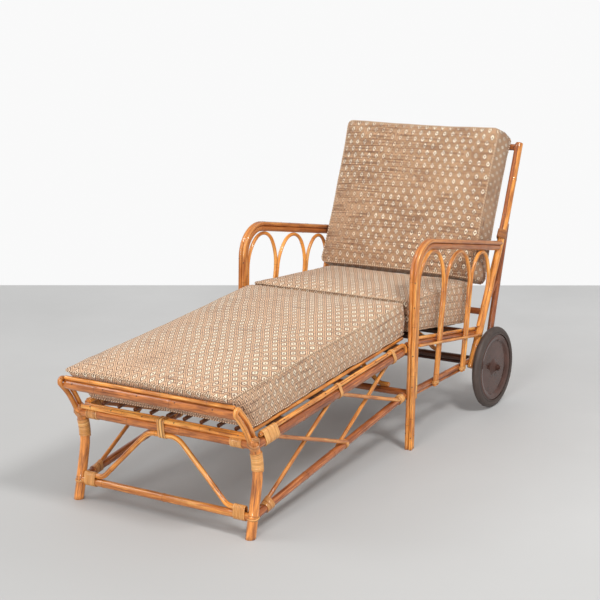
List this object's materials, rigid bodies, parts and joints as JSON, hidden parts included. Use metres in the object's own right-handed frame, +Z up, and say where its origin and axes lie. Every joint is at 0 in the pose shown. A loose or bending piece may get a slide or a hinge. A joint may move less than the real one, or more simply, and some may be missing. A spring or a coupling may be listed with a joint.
{
  "type": "rattan chaise longue",
  "caption": "Long reclining garden seat of bent rattan poles and canes, with arched arms, lattice sides, rear wheels and loose boxed cushions.",
  "frame": {"origin": "on the floor under the middle of the overall length and width", "axes": "+X across the seat to the right side seen from the foot end, +Y from the foot end towards the back, +Z up"},
  "size_m": [0.7572, 1.6856, 0.9177],
  "materials": {
    "amber_cane": "glossy varnish over honey-coloured cane with darker nodes",
    "brown_pole": "glossy varnish over red-brown rattan pole",
    "dark_wood": "satin dark brown stain",
    "binding_cane": "satin peeled cane strands",
    "wheel_paint": "semi-gloss dark brown paint on pressed steel",
    "tyre_rubber": "worn matt dark brown rubber",
    "axle_steel": "dark painted steel",
    "cushion_fabric": "matt woven diamond pattern in tan, cream and brown"
  },
  "bodies": {
    "frame": {"front_leg_left": "brown_pole", "front_leg_right": "brown_pole", "front_horn_left": "amber_cane", "front_horn_right": "amber_cane", "bumper_rail": "brown_pole", "bumper_cane": "amber_cane", "top_front_rail": "brown_pole", "top_front_canes": "amber_cane", "lower_front_rail": "brown_pole", "front_arch": "amber_cane", "side_rail_left": "brown_pole", "side_rail_right": "brown_pole", "side_rail_cane_left": "amber_cane", "side_rail_cane_right": "amber_cane", "low_side_rail_left": "brown_pole", "low_side_rail_right": "brown_pole", "side_lattice_left": "amber_cane", "side_lattice_right": "amber_cane", "arm_pole_left": "brown_pole", "arm_pole_right": "brown_pole", "arm_canes_left": "amber_cane", "arm_canes_right": "amber_cane", "arm_arches_left": "amber_cane", "arm_arches_right": "amber_cane", "seat_rail_left": "brown_pole", "seat_rail_right": "brown_pole", "seat_canes_left": "amber_cane", "seat_canes_right": "amber_cane", "arm_low_rail_left": "brown_pole", "arm_low_rail_right": "brown_pole", "seat_cross_rail": "brown_pole", "low_cross_rail": "brown_pole", "middle_arch": "amber_cane", "back_post_left": "brown_pole", "back_post_right": "brown_pole", "back_post_canes": "amber_cane", "back_top_rail": "brown_pole", "back_low_rail": "brown_pole", "back_canes": "amber_cane", "rear_cross_rail": "brown_pole", "rear_leg_left": "brown_pole", "rear_leg_right": "brown_pole", "rear_struts": "brown_pole", "rear_arch": "amber_cane", "axle_beam": "brown_pole", "axle_rod": "axle_steel", "axle_nuts": "axle_steel", "deck_slats": "dark_wood", "deck_canes": "dark_wood", "edge_canes": "amber_cane", "seat_deck_canes": "dark_wood", "leg_cushion": "cushion_fabric", "seat_cushion": "cushion_fabric", "back_cushion": "cushion_fabric", "bindings": "binding_cane"},
    "left_wheel": {"wheel_left": "wheel_paint", "tyre_left": "tyre_rubber"},
    "right_wheel": {"wheel_right": "wheel_paint", "tyre_right": "tyre_rubber"}
  },
  "joints": [
    {"name": "left_wheel_spin", "type": "hinge", "parent": "frame", "child": "left_wheel", "pos_m": [-0.3481, 0.56774, 0.136], "axis": [1, 0, 0], "continuous": true},
    {"name": "right_wheel_spin", "type": "hinge", "parent": "frame", "child": "right_wheel", "pos_m": [0.3481, 0.56774, 0.136], "axis": [1, 0, 0], "continuous": true}
  ]
}
